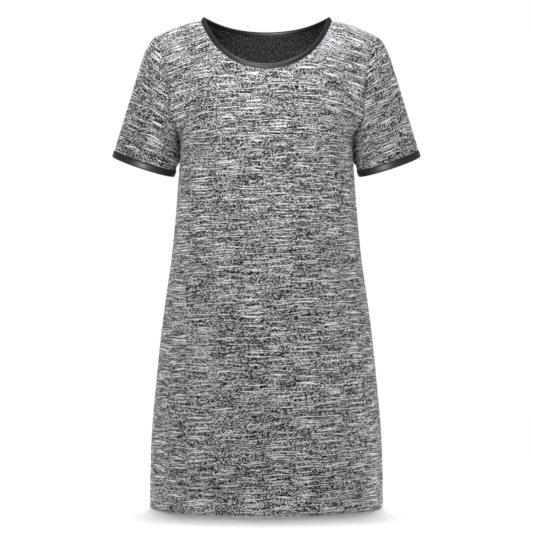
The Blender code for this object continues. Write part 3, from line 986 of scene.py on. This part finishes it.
class ClothSettings(bpy.types.PropertyGroup):
    """The cloth's seams and creases, the yarns of the jersey, and the colours."""

    dark_yarn: bpy.props.FloatVectorProperty(
        name="Dark yarn", description="Darkest yarn of the marl", default=linear(0x040405), **TINT
    )
    marl: bpy.props.FloatVectorProperty(
        name="Marl", description="Colour of the marl's ground", default=linear(0x646467), **TINT
    )
    pale_yarn: bpy.props.FloatVectorProperty(
        name="Pale yarn", description="Palest slubs of the marl", default=linear(0xF2F2F6), **TINT
    )
    reverse: bpy.props.FloatVectorProperty(
        name="Reverse", description="Colour of the cloth's reverse", default=linear(0x444447), **TINT
    )
    satin: bpy.props.FloatVectorProperty(
        name="Satin", description="Colour of the satin bindings", default=linear(0x303034), **TINT
    )
    seam_depth: bpy.props.FloatProperty(
        name="Seam depth", description="How far the cloth dips at a seam", default=0.0009, unit="LENGTH"
    )
    seam_width: bpy.props.FloatProperty(
        name="Seam width", description="How far from a seam the dip reaches", default=0.0032, unit="LENGTH"
    )
    crease_share: bpy.props.FloatProperty(
        name="Creases", description="How strong the short creases are", default=1.0, subtype="FACTOR"
    )
    slub_length: bpy.props.FloatProperty(
        name="Slub length", description="Length of a slub in the yarn", default=0.048, unit="LENGTH"
    )
    slub_height: bpy.props.FloatProperty(
        name="Slub height", description="Height of a slub across the cloth", default=0.0021, unit="LENGTH"
    )
    waver: bpy.props.FloatProperty(
        name="Waver", description="How far a slub wanders from its course", default=0.0055, unit="LENGTH"
    )
    rib: bpy.props.FloatProperty(
        name="Rib", description="Spacing of the knit's diagonal rib", default=0.0055, unit="LENGTH"
    )
    slub_strength: bpy.props.FloatProperty(
        name="Slubs", description="How strongly the slubs show", default=0.85
    )
    pale_strength: bpy.props.FloatProperty(
        name="Pale slubs", description="How much paler the thickest slubs are", default=7.0
    )
    thread_strength: bpy.props.FloatProperty(
        name="Threads", description="How strongly the short threads show", default=0.68
    )
    grain_strength: bpy.props.FloatProperty(
        name="Grain", description="How strongly the salt and pepper grain shows", default=1.5
    )
    rib_strength: bpy.props.FloatProperty(
        name="Rib strength", description="How strongly the diagonal rib shows", default=0.18
    )
    patch_strength: bpy.props.FloatProperty(
        name="Patches", description="How uneven the marl is from place to place", default=0.4
    )


class StageSettings(bpy.types.PropertyGroup):
    """The floor and the light."""

    floor_gap: bpy.props.FloatProperty(
        name="Floor gap", description="How far the floor lies below the hem", default=0.0008, unit="LENGTH"
    )
    surround: bpy.props.FloatProperty(
        name="Surround", description="How brightly the low walls light the dress", default=1.0
    )
    sky: bpy.props.FloatProperty(
        name="Ceiling", description="How brightly the ceiling lights the dress", default=0.12
    )
    overhead: bpy.props.FloatProperty(
        name="Overhead light", description="Strength of the light from above", default=4.35
    )
    key_power: bpy.props.FloatProperty(
        name="Key light", description="Power of the soft light above the front", default=0.68, unit="POWER"
    )
    low_power: bpy.props.FloatProperty(
        name="Low light", description="Power of the low light along the hem", default=0.034, unit="POWER"
    )
    glint_power: bpy.props.FloatProperty(
        name="Glint", description="Power of the lamp that the satin mirrors", default=45.0, unit="POWER"
    )


class DRESS_OT_cloth(bpy.types.Operator):
    """Makes the front, the back and the two sleeves, sewn together"""

    bl_idname = "dress.cloth"
    bl_label = "Cloth"

    def execute(self, context):
        cloth = context.scene.dress_cloth
        reverse = jersey_reverse(cloth)
        body = marl_jersey(cloth, "slub_marl_jersey", *BODY_MARL)
        # The sleeves' copy of the jersey is darker in the middle: painted shade
        sleeve = marl_jersey(cloth, "slub_marl_jersey_of_sleeves_with_painted_shade", *SLEEVE_MARL_WITH_PAINTED_SHADE)
        skin = make_skin(cloth)
        for piece, face in enumerate((body, body, sleeve, sleeve)):
            cloth_piece(skin, piece, [face, reverse])
        skin.free()
        return {"FINISHED"}


class DRESS_OT_bindings(bpy.types.Operator):
    """Makes the rolled binding of the neck and the flat ones of the cuffs"""

    bl_idname = "dress.bindings"
    bl_label = "Bindings"

    def execute(self, context):
        satin = satin_binding(context.scene.dress_cloth)
        form = (NECK_BINDING_WIDTH, NECK_BINDING_THICKNESS, NECK_GROOVE, satin)
        add_binding("neck_trim", "neck_binding", neck_stations(), *form)
        form = (CUFF_BINDING_WIDTH, CUFF_BINDING_THICKNESS, CUFF_GROOVE, satin)
        for side, mirror in (("left", 1.0), ("right", -1.0)):
            add_binding(f"cuff_trim_{side}", f"cuff_binding_{side}", cuff_stations(mirror), *form)
        return {"FINISHED"}


class DRESS_OT_stage(bpy.types.Operator):
    """Makes the floor, the light and the camera"""

    bl_idname = "dress.stage"
    bl_label = "Stage"

    def execute(self, context):
        stage = context.scene.dress_stage
        make_floor(stage)
        make_light(stage)
        make_camera()
        return {"FINISHED"}


def make_floor(stage):
    """A wide pale floor just below the hem."""
    mesh = bmesh.new()
    bmesh.ops.create_grid(mesh, x_segments=4, y_segments=4, size=FLOOR_SIZE / 2)
    for vert in mesh.verts:
        vert.co.z = HEM_LEVEL - stage.floor_gap
    material, _, shader = new_material("matt_white_paint", 0.9, sheen=0.0, specular=0.0)
    shader.inputs["Base Color"].default_value = linear(0xFEFEFE)
    floor = mesh_object("floor", mesh, [material])


def make_light(stage):
    """A white surround, bright low down, a light overhead that shows in no gloss, a key above the front,
    a lamp that shows in gloss alone, and a low one along the hem."""
    world = bpy.data.worlds.new("white_surround")
    world.use_nodes = True
    tree = world.node_tree
    ground = tree.nodes["Background"]
    ground.inputs["Color"].default_value = (1.0, 1.0, 1.0, 1.0)
    towards = add_node(tree, "ShaderNodeTexCoord").outputs["Generated"]
    place = add_node(tree, "ShaderNodeSeparateXYZ", (("Vector", towards),)).outputs
    wall = blend(tree, place["Y"], FRONT_WALL, (stage.surround * FRONT_SHARE, stage.surround))
    glow = blend(tree, place["Z"], WALL_TOP, (stage.sky, wall))
    seen = add_node(tree, "ShaderNodeLightPath").outputs["Is Camera Ray"]
    strength = blend(tree, seen, (0.0, 1.0), (glow, 1.0))
    tree.links.new(strength, ground.inputs["Strength"])
    bpy.context.scene.world = world
    overhead = bpy.data.lights.new("overhead", "SUN")
    overhead.angle = OVERHEAD_ANGLE
    overhead.energy = stage.overhead
    hang_lamp(overhead, OVERHEAD_PLACE, (0.0, 0.0, 0.0)).visible_glossy = False
    area_lamp("key", KEY_LAMP, stage.key_power)
    area_lamp("glint", GLINT_LAMP, stage.glint_power).visible_diffuse = False
    low = area_lamp("low_light", LOW_LAMP, stage.low_power).data
    low.shape = "RECTANGLE"
    low.size_y = LOW_LAMP_HEIGHT


def area_lamp(name, form, power):
    """Puts a disk lamp in the scene, and gives the object that holds it."""
    lamp = bpy.data.lights.new(name, "AREA")
    lamp.shape = "DISK"
    lamp.size = form.width
    lamp.spread = form.spread
    lamp.energy = power
    return hang_lamp(lamp, form.place, form.target)


def hang_lamp(lamp, place, target):
    """Puts a lamp in the scene, turned towards a target, and gives the object that holds it."""
    holder = new_object(lamp.name, lamp)
    holder.location = place
    aim = Vector(target) - Vector(place)
    holder.rotation_euler = aim.to_track_quat("-Z", "Y").to_euler()
    return holder


def make_camera():
    """A level camera in front, at half the dress's height."""
    data = bpy.data.cameras.new("camera")
    data.lens = CAMERA_LENS
    camera = new_object("camera", data)
    camera.location = CAMERA_PLACE
    camera.rotation_euler = (math.pi / 2, 0.0, 0.0)
    bpy.context.scene.camera = camera
    bpy.context.scene.view_settings.view_transform = "Standard"


class DRESS_PT_panel(bpy.types.Panel):
    """The dress's pieces and settings"""

    bl_label = "Dress"
    bl_idname = "DRESS_PT_panel"
    bl_space_type = "VIEW_3D"
    bl_region_type = "UI"
    bl_category = "Dress"

    def draw(self, context):
        for settings in (context.scene.dress_cloth, context.scene.dress_stage):
            for name in settings.__annotations__:
                self.layout.prop(settings, name)
        for operator in STEPS:
            self.layout.operator(operator.bl_idname)


STEPS = (DRESS_OT_cloth, DRESS_OT_bindings, DRESS_OT_stage)
CLASSES = (ClothSettings, StageSettings, *STEPS, DRESS_PT_panel)


def register():
    for cls in CLASSES:
        bpy.utils.register_class(cls)
    bpy.types.Scene.dress_cloth = bpy.props.PointerProperty(type=ClothSettings)
    bpy.types.Scene.dress_stage = bpy.props.PointerProperty(type=StageSettings)


def unregister():
    del bpy.types.Scene.dress_stage
    del bpy.types.Scene.dress_cloth
    for cls in reversed(CLASSES):
        bpy.utils.unregister_class(cls)


def main():
    register()
    bpy.ops.dress.cloth()
    bpy.ops.dress.bindings()
    bpy.ops.dress.stage()


if __name__ == "__main__":
    main()
